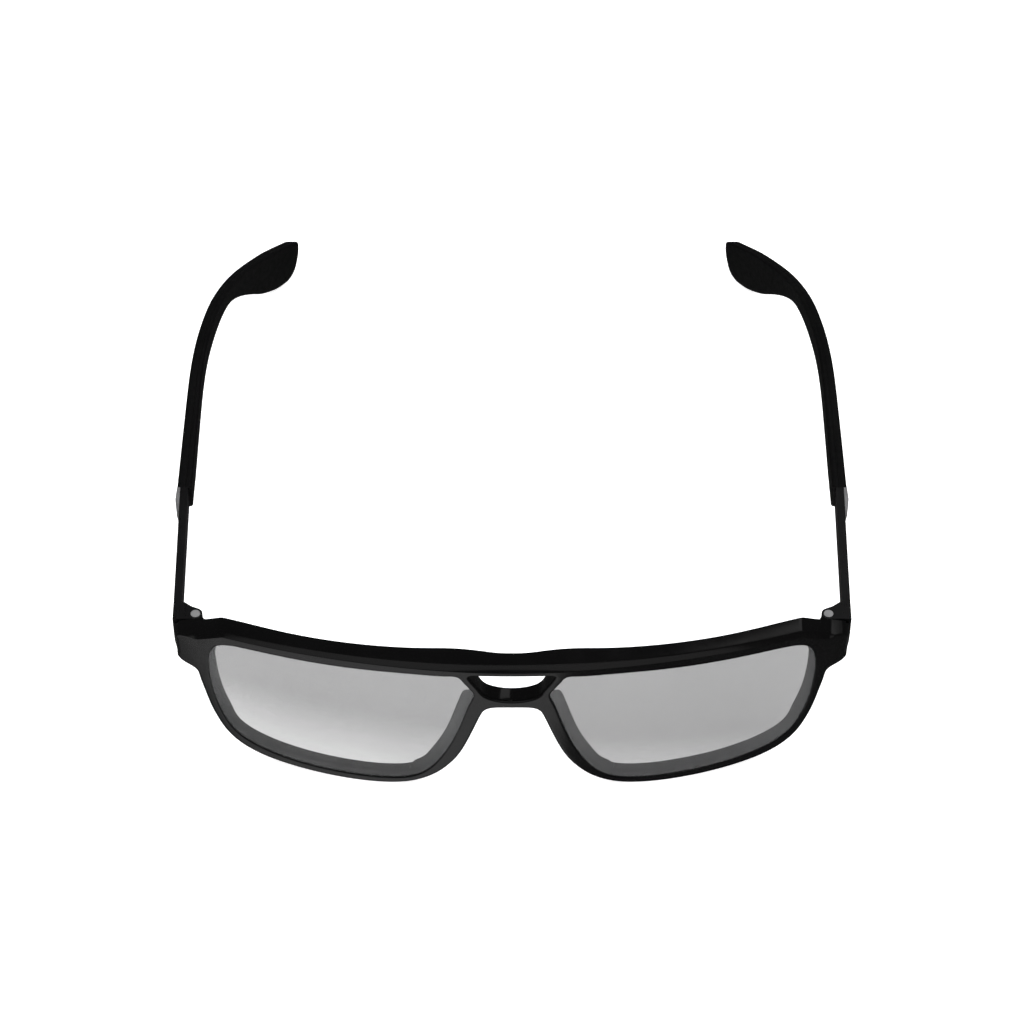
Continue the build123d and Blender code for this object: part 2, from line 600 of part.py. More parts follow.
with BuildPart() as speaker_grille_right:
    with BuildSketch(SIDE.offset(-80)):
        with BuildLine():
            Polyline((82.55, -5.45), (87.42, -5.95), (87.38, -6.50), (82.50, -5.90), close=True)
        make_face()
    extrude(amount=40)
    with BuildSketch(PLAN.offset(-20)):
        add(band(0.98, 1.82))
    extrude(amount=25, mode=Mode.INTERSECT)
speaker_grille_right.part.label = "speaker_grille_right"

with BuildPart() as battery_right:
    with BuildSketch(SIDE.offset(-80)):
        with BuildLine():
            Polyline((113.5, -13.4), (118.0, -15.7), (124.0, -18.7), (131.5, -22.6), (133.2, -24.6),
                     (132.9, -28.2), (131.2, -30.3), (128.8, -29.6), (124.5, -26.2), (119.5, -21.5),
                     (114.5, -17.0), (112.2, -15.2), close=True)
        make_face()
    extrude(amount=40)
    with BuildSketch(PLAN.offset(-45)):
        add(band(0.88, 2.05))
    extrude(amount=60, mode=Mode.INTERSECT)
battery_right.part.label = "battery_right"

with BuildPart() as battery_lead_right:
    with BuildSketch(SIDE.offset(-80)):
        with BuildLine():
            Polyline((76.5, -2.6), (84.0, -3.1), (92.0, -4.7), (100.0, -7.3), (107.0, -10.7),
                     (114.6, -14.6), (114.1, -15.5), (106.6, -11.5), (99.6, -8.15), (91.6, -5.8),
                     (84.0, -4.3), (76.5, -3.8), close=True)
        make_face()
    extrude(amount=40)
    with BuildSketch(PLAN.offset(-45)):
        add(band(WALL + 0.11, 0.86))
    extrude(amount=60, mode=Mode.INTERSECT)
battery_lead_right.part.label = "battery_lead_right"

with BuildPart() as charging_contacts_right:
    with BuildSketch(PLAN.offset(-6.10)):
        with Locations((-71.60, CONTACT_T1), (-71.50, CONTACT_T2)):
            Circle(CONTACT_R)
    extrude(amount=1.38)
charging_contacts_right.part.label = "charging_contacts_right"

right_pieces = {
    "temple_arm": temple_arm_right, "temple_trim": temple_trim_right,
    "outer_shell": outer_shell_right, "inner_shell": inner_shell_right,
    "hinge_screw": hinge_screw_right, "circuit_board": circuit_board_right,
    "touch_sensor": touch_sensor_right, "processor": processor_right,
    "audio_amplifier": audio_amplifier_right, "microphone": microphone_right,
    "speaker": speaker_right, "speaker_grille": speaker_grille_right,
    "battery": battery_right, "battery_lead": battery_lead_right,
    "charging_contacts": charging_contacts_right,
}

# ================================================================== writing
for piece in (front_frame, lens_right, lens_left, nose_pad_right, nose_pad_left,
              hinge_leaf_right, hinge_leaf_left, leaf_screws):
    export_step(piece.part, f"parts/{piece.part.label}.step")
for name, piece in right_pieces.items():
    export_step(piece.part, f"parts/{name}_right.step")
    with BuildPart() as twin:
        mirror(piece.part, about=Plane.YZ)
    twin.part.label = f"{name}_left"
    export_step(twin.part, f"parts/{name}_left.step")
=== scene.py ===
import json
import math

import bpy
import bmesh
import numpy as np
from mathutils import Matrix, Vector
from mathutils.geometry import delaunay_2d_cdt


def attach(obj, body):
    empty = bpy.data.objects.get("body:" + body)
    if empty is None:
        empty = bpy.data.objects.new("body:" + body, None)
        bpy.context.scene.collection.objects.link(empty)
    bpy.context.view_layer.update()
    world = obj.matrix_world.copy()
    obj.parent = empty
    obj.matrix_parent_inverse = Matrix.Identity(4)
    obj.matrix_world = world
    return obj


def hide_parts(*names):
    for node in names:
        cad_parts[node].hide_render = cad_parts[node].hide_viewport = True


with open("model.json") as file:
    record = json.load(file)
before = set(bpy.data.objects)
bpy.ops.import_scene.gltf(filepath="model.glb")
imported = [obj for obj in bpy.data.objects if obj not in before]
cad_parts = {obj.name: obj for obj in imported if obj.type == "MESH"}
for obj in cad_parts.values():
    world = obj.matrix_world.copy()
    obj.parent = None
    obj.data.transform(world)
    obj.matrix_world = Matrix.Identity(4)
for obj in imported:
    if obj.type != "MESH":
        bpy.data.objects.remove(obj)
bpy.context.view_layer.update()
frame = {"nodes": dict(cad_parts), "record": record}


# ======================================================================
# the shared frame, in millimetres: the same numbers as the CAD model
# ======================================================================
TILT, LEAN, DROP = math.radians(1.69), math.radians(0.99), math.radians(5.17)
BROW = np.array([0.0, -75.33, 49.14])
HINGE = np.array([0.0, -75.33 + 16.017, 49.14 - 3.729])
DEPTH = np.array([0, math.cos(TILT), math.sin(TILT)])
RISE = np.array([0, -math.sin(TILT), math.cos(TILT)])
ALONG = np.array([0, math.cos(DROP), -math.sin(DROP)])
AXIS = np.array([0, math.sin(DROP), math.cos(DROP)])
EX = np.array([1.0, 0, 0])
WRAP, FACE_OFF, BACK_OFF = 220.0, -1.0, 3.4
HINGE_FACE = -1.60
SPLIT = 1.75

OUTER_TOP = [(0.0, 0.0), (-61.4, 0.0), (-67.2, -3.6), (-71.0, -4.25), (-72.15, -5.3)]
OUTER_SIDE = [(-72.15, -5.3), (-72.1, -10.2), (-71.45, -13.5), (-70.4, -14.8),
              (-68.9, -15.65), (-67.75, -16.7), (-67.25, -18.8), (-66.5, -23.9),
              (-65.45, -29.9), (-63.84, -35.65), (-62.0, -39.75), (-59.1, -43.15),
              (-55.8, -45.3), (-51.0, -47.05), (-44.4, -48.4), (-37.9, -49.08),
              (-32.6, -49.2), (-27.3, -48.75), (-22.8, -47.6), (-19.3, -45.65),
              (-16.6, -43.25), (-14.0, -39.75), (-12.2, -36.5), (-10.6, -32.5),
              (-9.25, -28.1), (-8.2, -24.3), (-7.2, -20.5), (-6.55, -18.2),
              (-5.7, -16.45), (-4.6, -15.65), (-3.2, -15.38), (0.0, -15.32)]
OPENING = [(-8.1, -10.9), (-8.8, -13.6), (-10.1, -18.8), (-12.1, -27.0),
           (-15.2, -36.0), (-17.7, -40.9), (-20.1, -43.8), (-22.8, -45.5),
           (-26.8, -46.55), (-31.2, -46.95), (-36.5, -46.85), (-41.8, -46.4),
           (-47.0, -45.5), (-52.3, -43.95), (-57.3, -41.3), (-60.4, -38.2),
           (-62.5, -33.6), (-63.75, -28.8), (-64.5, -24.0), (-64.9, -18.0),
           (-64.8, -11.6), (-64.0, -7.5), (-62.6, -5.0), (-60.4, -3.8),
           (-57.0, -3.4), (-50.0, -3.5), (-40.0, -3.7), (-30.0, -3.6),
           (-20.0, -3.5), (-13.4, -3.5), (-12.0, -3.55), (-11.2, -4.05),
           (-10.5, -5.3), (-9.6, -7.0), (-8.65, -8.8), (-8.15, -9.8)]
GAP = [(0.0, -3.1), (-8.4, -3.1), (-9.2, -3.6), (-8.35, -5.6), (-7.05, -8.2),
       (-6.3, -10.0), (-5.3, -11.3), (-3.6, -12.2), (-1.8, -12.7), (0.0, -12.85)]
T0 = 36.30
TOP_EDGE = [(T0, 0.0), (50.0, 0.0), (62.6, 0.0), (73.0, -0.02), (81.7, -0.42),
            (89.4, -1.65), (94.8, -3.10), (99.0, -4.65), (103.7, -6.75),
            (108.9, -9.25), (114.1, -11.80), (119.4, -14.40), (124.75, -17.0),
            (130.2, -19.65), (135.1, -22.2), (137.3, -23.3)]
TIP_EDGE = [(137.3, -23.3), (138.15, -23.9), (138.38, -24.95), (138.2, -27.5),
            (137.5, -30.2), (136.1, -32.65), (134.1, -33.5)]
BOTTOM_EDGE = [(134.1, -33.5), (131.3, -32.75), (128.2, -31.0), (125.0, -28.6),
               (121.5, -25.3), (118.0, -22.0), (114.2, -18.7), (109.0, -14.7),
               (104.5, -11.9), (100.0, -9.9), (95.0, -8.2), (89.0, -6.85),
               (82.0, -6.0), (75.0, -5.8), (62.0, -6.0), (50.0, -6.2),
               (T0, -6.3)]
OUTER_PLAN = [(-73.45, 36.3), (-73.20, 50.0), (-72.95, 62.0), (-72.45, 75.0),
              (-71.50, 85.0), (-70.20, 95.0), (-68.85, 104.0), (-67.20, 112.0),
              (-65.05, 119.0), (-62.50, 125.0), (-59.75, 130.5), (-56.70, 135.5),
              (-52.95, 141.0)]


# ======================================================================
# outlines
# ======================================================================
def spline(points, step=0.4, closed=False):
    """Points along a cubic spline through the given points."""
    p = np.array(points, float)
    if closed:
        p = np.vstack([p, p[:1]])
    u = np.concatenate([[0], np.cumsum(np.linalg.norm(np.diff(p, axis=0), axis=1))])
    n, h = len(u), np.diff(u)
    a = np.zeros((n, n))
    b = np.zeros((n, p.shape[1]))
    for i in range(1, n - 1):
        a[i, i - 1], a[i, i], a[i, i + 1] = h[i - 1], 2 * (h[i - 1] + h[i]), h[i]
        b[i] = 6 * ((p[i + 1] - p[i]) / h[i] - (p[i] - p[i - 1]) / h[i - 1])
    if closed:
        a[0, 0], a[0, -1] = 1, -1
        a[-1, 0] += 2 * h[0]
        a[-1, 1] += h[0]
        a[-1, -2] += h[-1]
        a[-1, -1] += 2 * h[-1]
        b[-1] = 6 * ((p[1] - p[0]) / h[0] - (p[-1] - p[-2]) / h[-1])
    else:
        a[0, 0] = a[-1, -1] = 1
    m = np.linalg.solve(a, b)
    s = np.linspace(0, u[-1], max(3, int(u[-1] / step) + 1))
    k = np.clip(np.searchsorted(u, s, side="right") - 1, 0, n - 2)
    hk = h[k][:, None]
    c = (u[k + 1] - s)[:, None] / hk
    d = (s - u[k])[:, None] / hk
    out = c * p[k] + d * p[k + 1] + ((c ** 3 - c) * m[k] + (d ** 3 - d) * m[k + 1]) * hk ** 2 / 6
    return out[:-1] if closed else out


def rounded(points, radius, closed=False):
    """A polyline with its corners replaced by arcs."""
    pts = [np.array(p, float) for p in points]
    n = len(pts)
    out = []
    for i, p in enumerate(pts):
        if not closed and i in (0, n - 1):
            out.append(p)
            continue
        a, b = pts[i - 1], pts[(i + 1) % n]
        u, v = (a - p), (b - p)
        lu, lv = np.linalg.norm(u), np.linalg.norm(v)
        u, v = u / lu, v / lv
        turn = math.pi - math.acos(max(-1, min(1, float(u @ v))))
        r = radius[i] if hasattr(radius, "__len__") else radius
        if turn < 0.02 or r <= 0:
            out.append(p)
            continue
        cut = min(r * math.tan(turn / 2), 0.45 * lu, 0.45 * lv)
        for q in np.linspace(0, 1, 9):
            out.append((1 - q) ** 2 * (p + u * cut) + 2 * q * (1 - q) * p + q * q * (p + v * cut))
    return np.array(out)


def even(points, step):
    """A closed outline resampled at an even spacing."""
    p = np.array(points, float)
    keep = np.linalg.norm(p - np.roll(p, 1, axis=0), axis=1) > 1e-6
    p = p[keep]
    q = np.vstack([p, p[:1]])
    u = np.concatenate([[0], np.cumsum(np.linalg.norm(np.diff(q, axis=0), axis=1))])
    n = int(round(u[-1] / step))
    s = np.arange(n) * u[-1] / n
    return np.stack([np.interp(s, u, q[:, 0]), np.interp(s, u, q[:, 1])], axis=1)


def signed_area(p):
    x, y = p[:, 0], p[:, 1]
    return 0.5 * float(np.sum(x * np.roll(y, -1) - np.roll(x, -1) * y))


def loop(points, hole=False):
    """An outline with its normals into the material."""
    p = np.array(points, float)
    if (signed_area(p) > 0) == hole:
        p = p[::-1].copy()
    t = np.roll(p, -1, axis=0) - np.roll(p, 1, axis=0)
    t /= np.linalg.norm(t, axis=1)[:, None]
    return {"p": p, "n": np.stack([-t[:, 1], t[:, 0]], axis=1)}


def mirrored(points):
    return [(-x, y) for x, y in points]


def grown(p, by):
    q = loop(p, hole=False)
    return q["p"] - by * q["n"]


def smooth(x):
    x = np.clip(x, 0, 1)
    return x * x * (3 - 2 * x)


# ======================================================================
# edge profiles: rows of (inward, depth)
# ======================================================================
def round_edge(r, rows=6, lead=0.22):
    out = [(r + lead, 0.0)]
    for q in np.linspace(0, math.pi / 2, rows):
        out.append((r * (1 - math.sin(q)), r * (1 - math.cos(q))))
    return np.array(out)


def chamfer_edge(wide, deep, r=0.22, rows=9):
    """Same count of rows as round_edge(rows - 1)."""
    a, b = np.array([wide, 0.0]), np.array([0.0, deep])
    flat = (b - a) / np.linalg.norm(b - a)
    t = r * 0.6
    out = [a + np.array([t + 0.22, 0])]
    half = (rows - 1) // 2
    for q in np.linspace(0, 1, half):
        s, e = a + np.array([t, 0]), a + flat * t
        out.append((1 - q) ** 2 * s + 2 * q * (1 - q) * a + q * q * e)
    for q in np.linspace(0, 1, rows - 1 - half):
        s, e = b - flat * t, b + np.array([0, t])
        out.append((1 - q) ** 2 * s + 2 * q * (1 - q) * b + q * q * e)
    return np.array(out)


# ======================================================================
# a plate: a flat region given depth between two surfaces, with shaped edges
# ======================================================================
def inside(points, loops):
    hit = np.zeros(len(points), bool)
    x, y = points[:, 0][:, None], points[:, 1][:, None]
    for p in loops:
        a, b = p, np.roll(p, -1, axis=0)
        cross = ((a[:, 1] > y) != (b[:, 1] > y))
        with np.errstate(divide="ignore", invalid="ignore"):
            xi = a[:, 0] + (y - a[:, 1]) * (b[:, 0] - a[:, 0]) / (b[:, 1] - a[:, 1])
        hit ^= (np.sum(cross & (x < xi), axis=1) % 2).astype(bool)
    return hit


def fill(loops, grid, extra=None):
    """Triangles over the region between loops. Returns added points and the
    triangles, numbered loop points first, then the added ones."""
    flat = np.vstack(loops)
    lo, hi = flat.min(0), flat.max(0)
    xs = np.arange(lo[0] + grid * 0.37, hi[0], grid)
    ys = np.arange(lo[1] + grid * 0.41, hi[1], grid * 0.87)
    g = np.array([(x + (0.5 * grid if j % 2 else 0), y) for j, y in enumerate(ys) for x in xs])
    if extra is not None and len(extra):
        g = np.vstack([g, extra])
    if len(g):
        g = g[inside(g, loops)]
    if len(g):
        near = np.empty(len(g))
        for i in range(0, len(g), 400):
            d = g[i:i + 400, None, :] - flat[None, :, :]
            near[i:i + 400] = np.sqrt((d ** 2).sum(-1)).min(1)
        g = g[near > 0.16 if extra is not None else near > 0.35 * grid]
    pts = np.vstack([flat, g]) if len(g) else flat
    edges, base = [], 0
    for p in loops:
        n = len(p)
        edges += [(base + i, base + (i + 1) % n) for i in range(n)]
        base += n
    vo, _, fo, ov, _, _ = delaunay_2d_cdt([Vector(p) for p in pts], edges, [], 0, 1e-7)
    index = [o[0] if o else -1 for o in ov]
    tris = np.array([[index[i] for i in f] for f in fo if len(f) == 3])
    tris = tris[(tris >= 0).all(1)]
    mid = pts[tris].mean(1)
    tris = tris[inside(mid, loops)]
    return g, tris


def plate(loops, edges, front, back, world, grid=1.6, extra=None, back_loops=(), pocket=None):
    """loops: the outlines, the first one outside. edges: for each, a pair of
    row sets (front edge, back edge), each (rows, 2) or (rows, points, 2), and
    an optional middle set of (inward, share of the way) rows. front and back
    give the depth at (u, v). Returns vertices and faces."""
    verts, faces = [], []
    ends = {"f": [], "b": []}
    count = 0

    def push(uv, s):
        nonlocal count
        v = world(uv[:, 0], uv[:, 1], s)
        verts.append(v)
        first = count
        count += len(v)
        return first

    for lp, (fe, be, mid) in zip(loops, edges):
        n = len(lp["p"])
        rings = []

        def row(r):
            r = np.array(r, float)
            if r.ndim == 1:
                r = np.tile(r, (n, 1))
            return r

        for r in fe:
            r = row(r)
            uv = lp["p"] + lp["n"] * r[:, :1]
            rings.append(push(uv, front(uv[:, 0], uv[:, 1]) + r[:, 1]))
            if len(rings) == 1:
                ends["f"].append((uv, rings[0]))
        for r in mid:
            uv = lp["p"] + lp["n"] * np.reshape(np.asarray(r[0], float), (-1, 1))
            f, b = front(uv[:, 0], uv[:, 1]), back(uv[:, 0], uv[:, 1])
            s = f + r[1] if r[2] == "f" else (b - r[1] if r[2] == "b" else f + (b - f) * r[1])
            rings.append(push(uv, s))
        for r in reversed(list(be)):
            r = row(r)
            uv = lp["p"] + lp["n"] * r[:, :1]
            rings.append(push(uv, back(uv[:, 0], uv[:, 1]) - r[:, 1]))
            last = (uv, rings[-1])
        ends["b"].append(last)
        i = np.arange(n)
        j = (i + 1) % n
        for a, b in zip(rings[:-1], rings[1:]):
            faces.append(np.stack([a + i, a + j, b + j, b + i], axis=1))
    for side, depth in (("f", front), ("b", back)):
        rims = list(ends[side])
        if side == "b" and pocket is not None:
            rims += pocket(push, faces)
        g, tris = fill([uv for uv, _ in rims], grid, extra)
        table = np.concatenate([first + np.arange(len(uv)) for uv, first in rims])
        if len(g):
            first = push(g, depth(g[:, 0], g[:, 1]))
            table = np.concatenate([table, first + np.arange(len(g))])
        faces.append(table[tris])
    return np.vstack(verts), [tuple(int(k) for k in f) for block in faces for f in block]


def mesh_object(name, verts, faces, sharp=35.0, mirror=False):
    """A mesh object in metres from millimetre points."""
    v = np.array(verts, float) / 1000.0
    if mirror:
        v = v * np.array([-1, 1, 1])
    me = bpy.data.meshes.new(name)
    me.from_pydata([tuple(p) for p in v], [], faces)
    bm = bmesh.new()
    bm.from_mesh(me)
    bmesh.ops.remove_doubles(bm, verts=bm.verts, dist=1e-7)
    loose = [x for x in bm.verts if not x.link_faces]
    bmesh.ops.delete(bm, geom=loose, context="VERTS")
    bmesh.ops.recalc_face_normals(bm, faces=bm.faces)
    bm.to_mesh(me)
    bm.free()
    me.polygons.foreach_set("use_smooth", [True] * len(me.polygons))
    me.set_sharp_from_angle(angle=math.radians(sharp))
    me.update()
    o = bpy.data.objects.new(name, me)
    bpy.context.scene.collection.objects.link(o)
    return o


# ======================================================================
# the front's surfaces, as depth behind the brow plane at (x, height)
# ======================================================================
def world_front(x, w, s):
    return BROW + x[:, None] * EX + w[:, None] * RISE + s[:, None] * DEPTH


def arc(x, r):
    return WRAP - np.sqrt(r * r - np.clip(np.abs(x), 0, 100) ** 2)


C0 = float((BROW - HINGE) @ ALONG)


def hinge_plane(w):
    return (HINGE_FACE - C0 + w * math.sin(TILT + DROP)) / math.cos(TILT + DROP)


def front_depth(x, w):
    s = arc(x, WRAP - FACE_OFF)
    return s


def rim_back(x, w):
    d = TILT - LEAN
    s1 = arc(x, WRAP - BACK_OFF)
    w1 = (w + s1 * math.sin(d)) / math.cos(d)
    return s1 * math.cos(d) + w1 * math.sin(d)


# the brow's back edge waves gently: deeper over the nose pads, thinner between
WAVE = spline([(0.0, -0.14), (3.0, -0.06), (6.6, 0.36), (10.5, 0.70), (13.5, 0.72), (18.0, 0.44),
               (23.0, 0.12), (31.0, -0.20), (40.0, -0.34), (47.0, -0.26), (53.0, -0.05),
               (58.0, 0.08), (63.0, 0.0), (80.0, 0.0)], 0.5)
BRIDGE_BACK = 2.75


def back_depth(x, w):
    ax = np.abs(x)
    s = rim_back(x, w)
    s = s + np.interp(ax, WAVE[:, 0], WAVE[:, 1]) * smooth((w + 6.5) / 3.5)
    # struts and lower bridge are thinner than the brow
    thin = smooth((8.7 - ax) / 1.0) * smooth((-w - 3.6) / 0.9)
    s = s + thin * (BRIDGE_BACK + arc(x, WRAP) - s)
    # end pieces run back to the hinge face
    end = smooth((ax - 65.3) / 0.5) * smooth((w + 17.3) / 0.8)
    return s + end * (hinge_plane(w) - s)


# ---------------------------------------------------------------- front frame
side = spline(OUTER_SIDE, 0.3)
side = side[side[:, 1] < -6.6]
side_l = np.array(mirrored(side.tolist()))
crown = [tuple(side[0])] + OUTER_TOP[::-1] + mirrored(OUTER_TOP)[1:] + [tuple(side_l[0])]
top = rounded(crown, [0, 0.9, 0.7, 2.0, 1.6, 0, 1.6, 2.0, 0.7, 0.9, 0])
outline = np.vstack([top, side_l[1:], side[::-1][1:-1]])
outer = loop(even(outline, 0.42))
open_r = loop(even(spline(OPENING, 0.2, closed=True), 0.42), hole=True)
open_l = loop(even(np.array(mirrored(spline(OPENING, 0.2, closed=True).tolist())), 0.42), hole=True)
gap_soft = [0, 0.5, 0.5, 4, 4, 4, 4, 12, 12, 12]
gap_pts = rounded(GAP + mirrored(GAP)[::-1][1:-1], gap_soft + gap_soft[::-1][1:-1], closed=True)
gap = loop(even(gap_pts, 0.3), hole=True)

x, w = outer["p"][:, 0], outer["p"][:, 1]
brow_share = smooth((w + 4.6) / 1.0) * smooth((68.6 - np.abs(x)) / 1.6)
wide = 0.85 + 0.75 * np.exp(-(x / 24.0) ** 2)
soft_rim = 0.42 + 0.10 * smooth((-w - 18.0) / 7.0)
front_rows = np.zeros((9, len(x), 2))
for i in range(len(x)):
    regular = round_edge(soft_rim[i], rows=8)
    ch = chamfer_edge(wide[i], 1.0)
    front_rows[:, i] = regular + (ch - regular) * brow_share[i]
# the end pieces' sides flare from the front face back to the arms
flare = smooth((np.abs(x) - 69.0) / 1.5) * smooth((w + 13.4) / 2.2) * outer["n"][:, 0] ** 2
front_rows[:, :, 0] += 0.76 * flare
back_rows = round_edge(0.32, rows=6, lead=0.12)


def ledge(lp):
    """How far the ledge behind the lens stands in from the opening."""
    px, pw = lp["p"][:, 0], lp["p"][:, 1]
    side_share = smooth((np.abs(px) - 52) / 9) * smooth((pw + 42) / 9) * smooth((-pw - 4.2) / 3)
    return -1.3 * side_share * np.abs(lp["n"][:, 0])


def groove(lp):
    zero = np.zeros(len(lp["p"]))
    return [(zero, 0.31, "f"), (zero + 0.48, 0.31, "f"), (zero + 0.48, 2.19, "f"), (ledge(lp), 2.19, "f")]


def ledge_back(lp):
    return back_rows[:, None, :] + np.stack([ledge(lp), np.zeros(len(lp["p"]))], axis=1)[None]


rim_front = round_edge(0.20, rows=6)

LEAF_X0, LEAF_X1, LEAF_W1, LEAF_W2 = 65.81, 70.64, -4.86, -12.03


def hinge_pocket(push, faces):
    """Two rectangular pockets in the hinge faces, for the hinge leaves."""
    rims = []
    for sign in (-1, 1):
        corners = [(sign * LEAF_X0, LEAF_W1), (sign * LEAF_X1, LEAF_W1), (sign * LEAF_X1, LEAF_W2), (sign * LEAF_X0, LEAF_W2)]
        p = loop(even(rounded(corners, 0.25, closed=True), 0.4), hole=True)["p"]
        s = back_depth(p[:, 0], p[:, 1])
        a = push(p, s)
        b = push(p, s - 1.02)
        n = len(p)
        i = np.arange(n)
        j = (i + 1) % n
        faces.append(np.stack([a + i, a + j, b + j, b + i], axis=1))
        g, tris = fill([p], 2.0)
        table = b + np.arange(n)
        if len(g):
            first = push(g, back_depth(g[:, 0], g[:, 1]) - 1.02)
            table = np.concatenate([table, first + np.arange(len(g))])
        faces.append(table[tris])
        rims.append((p, a))
    return rims


fine = np.array([(a, b) for a in np.arange(-13, 13.01, 0.5) for b in np.arange(-16, -1.5, 0.5)])
fine_end = np.array([(sgn * a, b) for sgn in (-1, 1) for a in np.arange(64.9, 66.3, 0.25) for b in np.arange(-18.5, -2, 0.5)])
v, f = plate([outer, open_r, open_l, gap],
             [(front_rows, back_rows, []), (rim_front, ledge_back(open_r), groove(open_r)),
              (rim_front, ledge_back(open_l), groove(open_l)), (round_edge(0.55, rows=6), round_edge(0.35, rows=6), [])],
             front_depth, back_depth, world_front, grid=1.5,
             extra=np.vstack([fine, fine_end]), pocket=hinge_pocket)
frame_piece = mesh_object("front_frame_moulding", v, f)

# --------------------------------------------------------------------- lenses
lens_outline = grown(even(spline(OPENING, 0.2, closed=True), 0.5), 0.43)


def lens_piece(name, mirror):
    lp = loop(lens_outline)
    v, f = plate([lp], [(round_edge(0.12, rows=4, lead=0.12), round_edge(0.12, rows=4, lead=0.12), [])],
                 lambda a, b: arc(a, WRAP - FACE_OFF - 0.36), lambda a, b: arc(a, WRAP - FACE_OFF - 2.14),
                 world_front, grid=1.5)
    return mesh_object(name, v, f, mirror=mirror)


lens_pieces = [lens_piece("lens_clear_right", False), lens_piece("lens_clear_left", True)]

# ------------------------------------------------------------------ nose pads
HUMP = [(-46.8, 2.4), (-45.0, 3.3), (-43.0, 4.1), (-40.5, 4.8), (-37.0, 5.35), (-33.6, 5.9),
        (-30.2, 6.7), (-27.0, 7.6), (-24.0, 7.95), (-21.5, 7.4), (-19.6, 6.2), (-18.2, 4.6),
        (-17.4, 3.0)]
hump = spline(HUMP, 0.1)


def pad_back(x, w):
    s = np.interp(w, hump[:, 0], hump[:, 1])
    return np.maximum(s + arc(x, WRAP) * 0.9, rim_back(x, w) + 0.02)


def pad_piece(name, mirror):
    pts = spline([(-7.2, -18.3), (-8.3, -17.95), (-9.85, -19.2), (-11.1, -23.4), (-12.2, -27.4), (-13.7, -32.0),
                  (-15.25, -36.1), (-17.5, -40.6), (-20.0, -43.7), (-22.0, -45.15), (-22.2, -45.9), (-21.2, -46.3),
                  (-18.9, -44.9), (-16.4, -42.6), (-14.2, -39.6), (-12.5, -36.6), (-10.95, -32.6), (-9.6, -28.2),
                  (-8.5, -24.4), (-7.55, -20.6)], 0.2, closed=True)
    lp = loop(even(pts, 0.35))
    v, f = plate([lp], [([(0.3, 0.0), (0.0, 0.0)], round_edge(0.8, rows=8, lead=0.1), [])],
                 lambda a, b: rim_back(a, b) - 0.35, pad_back, world_front, grid=0.7)
    return mesh_object(name, v, f, mirror=mirror)


pad_pieces = [pad_piece("nose_pad_moulded_right", False), pad_piece("nose_pad_moulded_left", True)]

# ------------------------------------------------------------ temple housings
plan = spline(OUTER_PLAN, 0.25)
plan_t = np.gradient(plan, axis=0)
plan_t /= np.linalg.norm(plan_t, axis=1)[:, None]


def housing_x(t, d):
    """x of the layer d below the outer face of the right housing."""
    tau = t.copy()
    for _ in range(8):
        nt = -np.interp(tau, plan[:, 1], plan_t[:, 0])
        tau = t - d * nt
    nx = np.interp(tau, plan[:, 1], plan_t[:, 1])
    return np.interp(tau, plan[:, 1], plan[:, 0]) + d * nx


def world_housing(t, h, d):
    return HINGE + housing_x(t, d)[:, None] * EX + t[:, None] * ALONG + h[:, None] * AXIS


def thick(t):
    return np.where(t < 45, 3.2, np.maximum(2.8, 3.2 - 0.4 * (t - 45) / 35))


body_pts = np.vstack([spline(TOP_EDGE, 0.3), spline(TIP_EDGE, 0.15)[1:], spline(BOTTOM_EDGE, 0.3)[1:]])
body_loop = loop(even(body_pts, 0.45))


def edge_shift(points, by):
    p = np.array(points, float)
    d = np.array([p[min(i + 1, len(p) - 1)] - p[max(i - 1, 0)] for i in range(len(p))])
    d /= np.linalg.norm(d, axis=1)[:, None]
    return p + by * np.stack([-d[:, 1], d[:, 0]], axis=1)


hollow = spline(edge_shift(TOP_EDGE, -0.95)[:-2], 0.4)
hollow[0, 0] = T0 + 1.0
low = spline(edge_shift(BOTTOM_EDGE, -0.95)[2:], 0.4)
low[-1, 0] = T0 + 1.0
hollow_pts = np.vstack([hollow, [(133.4, -22.5), (134.8, -24.6), (134.4, -28.3), (132.9, -31.2), (130.6, -31.2)], low])
hollow_loop = loop(even(rounded(hollow_pts, 0.3, closed=True), 0.6), hole=True)


def shell_piece(name, outer_half, mirror):
    """Half of a housing: a shaped wall with a pocket on its seam side."""
    if outer_half:
        face, seam = (lambda t, h: np.zeros_like(t)), (lambda t, h: np.full_like(t, SPLIT))
        floor = (lambda t: np.full_like(t, 0.65))
    else:
        face, seam = (lambda t, h: thick(t)), (lambda t, h: np.full_like(t, SPLIT))
        floor = (lambda t: thick(t) - 0.65)
    sign = 1 if outer_half else -1

    def pocket(push, faces):
        p = hollow_loop["p"]
        a = push(p, seam(p[:, 0], p[:, 1]))
        b = push(p, floor(p[:, 0]))
        n = len(p)
        i = np.arange(n)
        j = (i + 1) % n
        faces.append(np.stack([a + i, a + j, b + j, b + i], axis=1))
        g, tris = fill([p], 2.5)
        table = b + np.arange(n)
        if len(g):
            first = push(g, floor(g[:, 0]))
            table = np.concatenate([table, first + np.arange(len(g))])
        faces.append(table[tris])
        return [(p, a)]

    fe = round_edge(0.62, rows=8) * np.array([1, sign])
    be = np.array([(0.36, 0.0), (0.07, 0.0), (0.02, 0.02), (0.0, 0.08)]) * np.array([1, sign])
    v, f = plate([body_loop], [(fe, be, [])], face, seam, world_housing, grid=1.8, pocket=pocket)
    return mesh_object(name, v, f, mirror=mirror)


shells = {}
for s, mir in (("right", False), ("left", True)):
    shells[f"outer_{s}"] = shell_piece(f"housing_outer_{s}", True, mir)
    shells[f"inner_{s}"] = shell_piece(f"housing_inner_{s}", False, mir)

